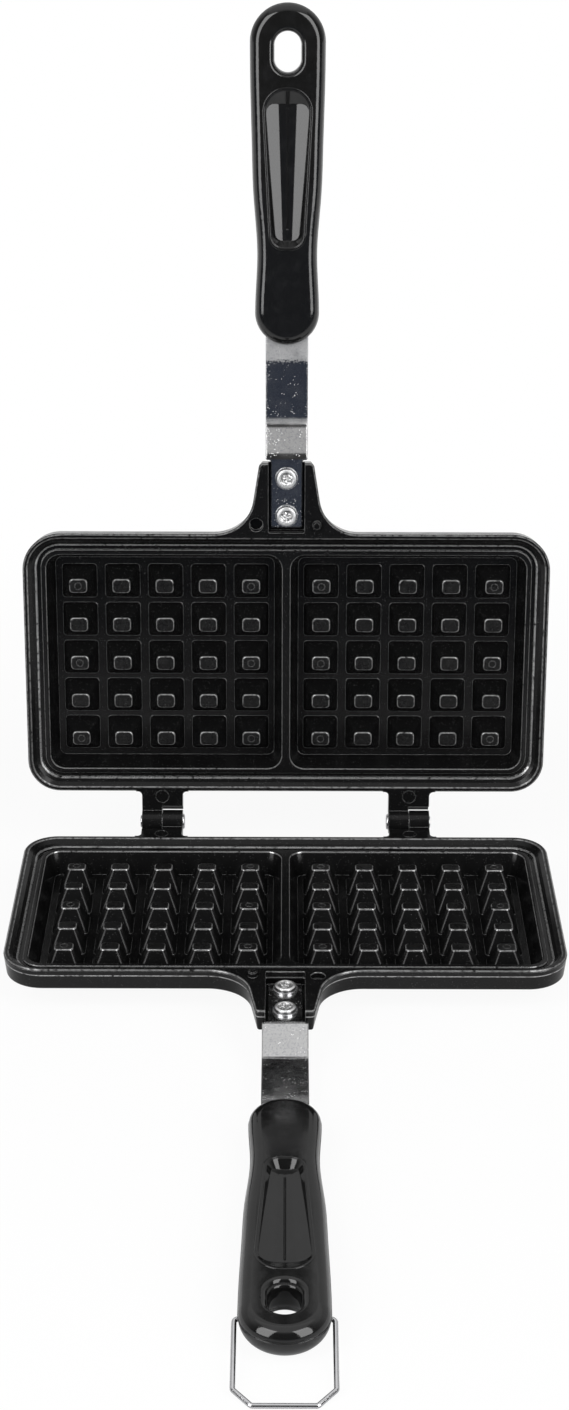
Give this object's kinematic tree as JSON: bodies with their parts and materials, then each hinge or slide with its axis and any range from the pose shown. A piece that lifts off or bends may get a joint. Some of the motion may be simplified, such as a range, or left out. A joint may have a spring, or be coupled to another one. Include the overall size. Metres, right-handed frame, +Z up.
{
  "type": "stovetop waffle iron",
  "caption": "Stovetop waffle iron: hinged cast plates with square-pegged cavities, riveted steel tangs, moulded grips and a wire bail that locks the grips together.",
  "frame": {"origin": "middle of the face that the lower half stands on", "axes": "+X to the right, the grips point to -Y when the iron is shut, +Z up from the standing face"},
  "size_m": [0.2418, 0.4518, 0.392],
  "materials": {
    "pan_coating": "cast aluminium under a satin black non-stick coating with a fine fleck",
    "tang_steel": "polished strip with small pits",
    "grip_plastic": "glossy black heat-resistant moulding",
    "rivet_aluminium": "bright, with a crinkled centre",
    "washer_steel": "plain",
    "pin_steel": "bright",
    "bail_wire": "polished wire"
  },
  "bodies": {
    "lower_half": {"lower_pan": "pan_coating", "lower_tang": "tang_steel", "lower_grip": "grip_plastic", "lower_rivet_inner": "rivet_aluminium", "lower_washer_inner": "washer_steel", "lower_rivet_outer": "rivet_aluminium", "lower_washer_outer": "washer_steel", "left_hinge_pin": "pin_steel", "right_hinge_pin": "pin_steel"},
    "upper_half": {"upper_pan": "pan_coating", "upper_tang": "tang_steel", "upper_grip": "grip_plastic", "upper_rivet_inner": "rivet_aluminium", "upper_washer_inner": "washer_steel", "upper_rivet_outer": "rivet_aluminium", "upper_washer_outer": "washer_steel"},
    "bail": {"bail": "bail_wire"}
  },
  "joints": [
    {"name": "pan_hinge", "type": "hinge", "parent": "lower_half", "child": "upper_half", "pos_m": [0, 0.0774, 0.02175], "axis": [1, 0, 0], "range_deg": [0, 95.75]},
    {"name": "bail_pivot", "type": "hinge", "parent": "lower_half", "child": "bail", "pos_m": [0, -0.2792, 0.008], "axis": [-1, 0, 0], "range_deg": [0, 114]}
  ]
}
